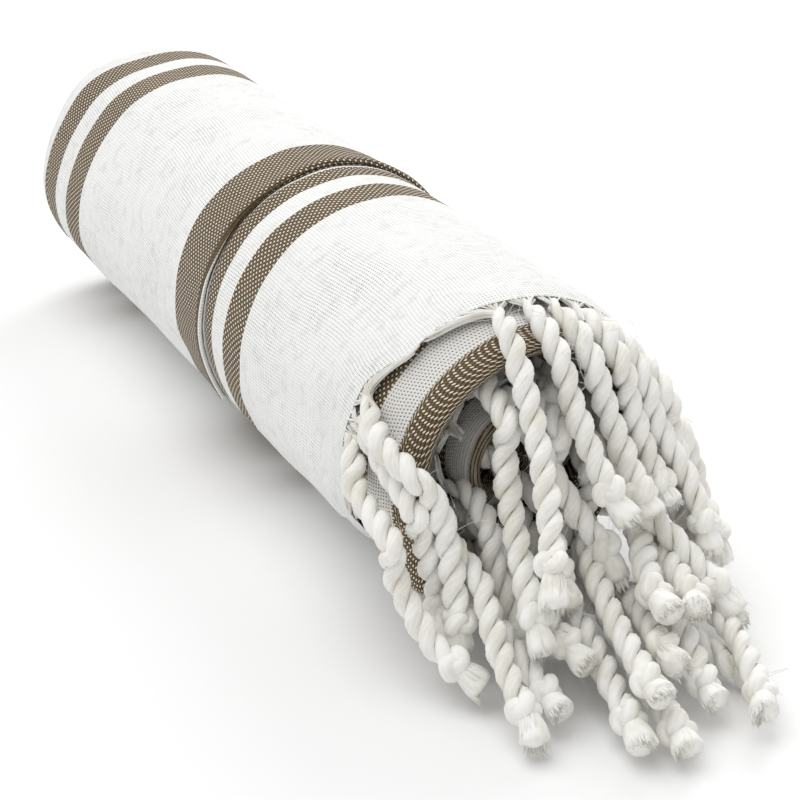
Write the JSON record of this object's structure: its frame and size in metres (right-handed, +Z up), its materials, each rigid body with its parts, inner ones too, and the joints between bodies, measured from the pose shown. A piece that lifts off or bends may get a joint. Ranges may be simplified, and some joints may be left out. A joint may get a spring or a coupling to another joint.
{
  "type": "hammam towel",
  "caption": "Flat-woven striped cotton hammam towel, folded lengthwise and rolled up, with twisted and knotted fringes spilling from one end.",
  "frame": {"origin": "middle of the whole towel's footprint, on the surface it lies on", "axes": "+X along the roll towards the fringes, +Z up"},
  "size_m": [0.3594, 0.1028, 0.0908],
  "materials": {
    "woven_cotton": "flat weave, matt",
    "fringe_cotton": "twisted cords, matt"
  },
  "bodies": {
    "root": {"towel_roll": "woven_cotton", "fringe": "fringe_cotton"}
  },
  "joints": []
}
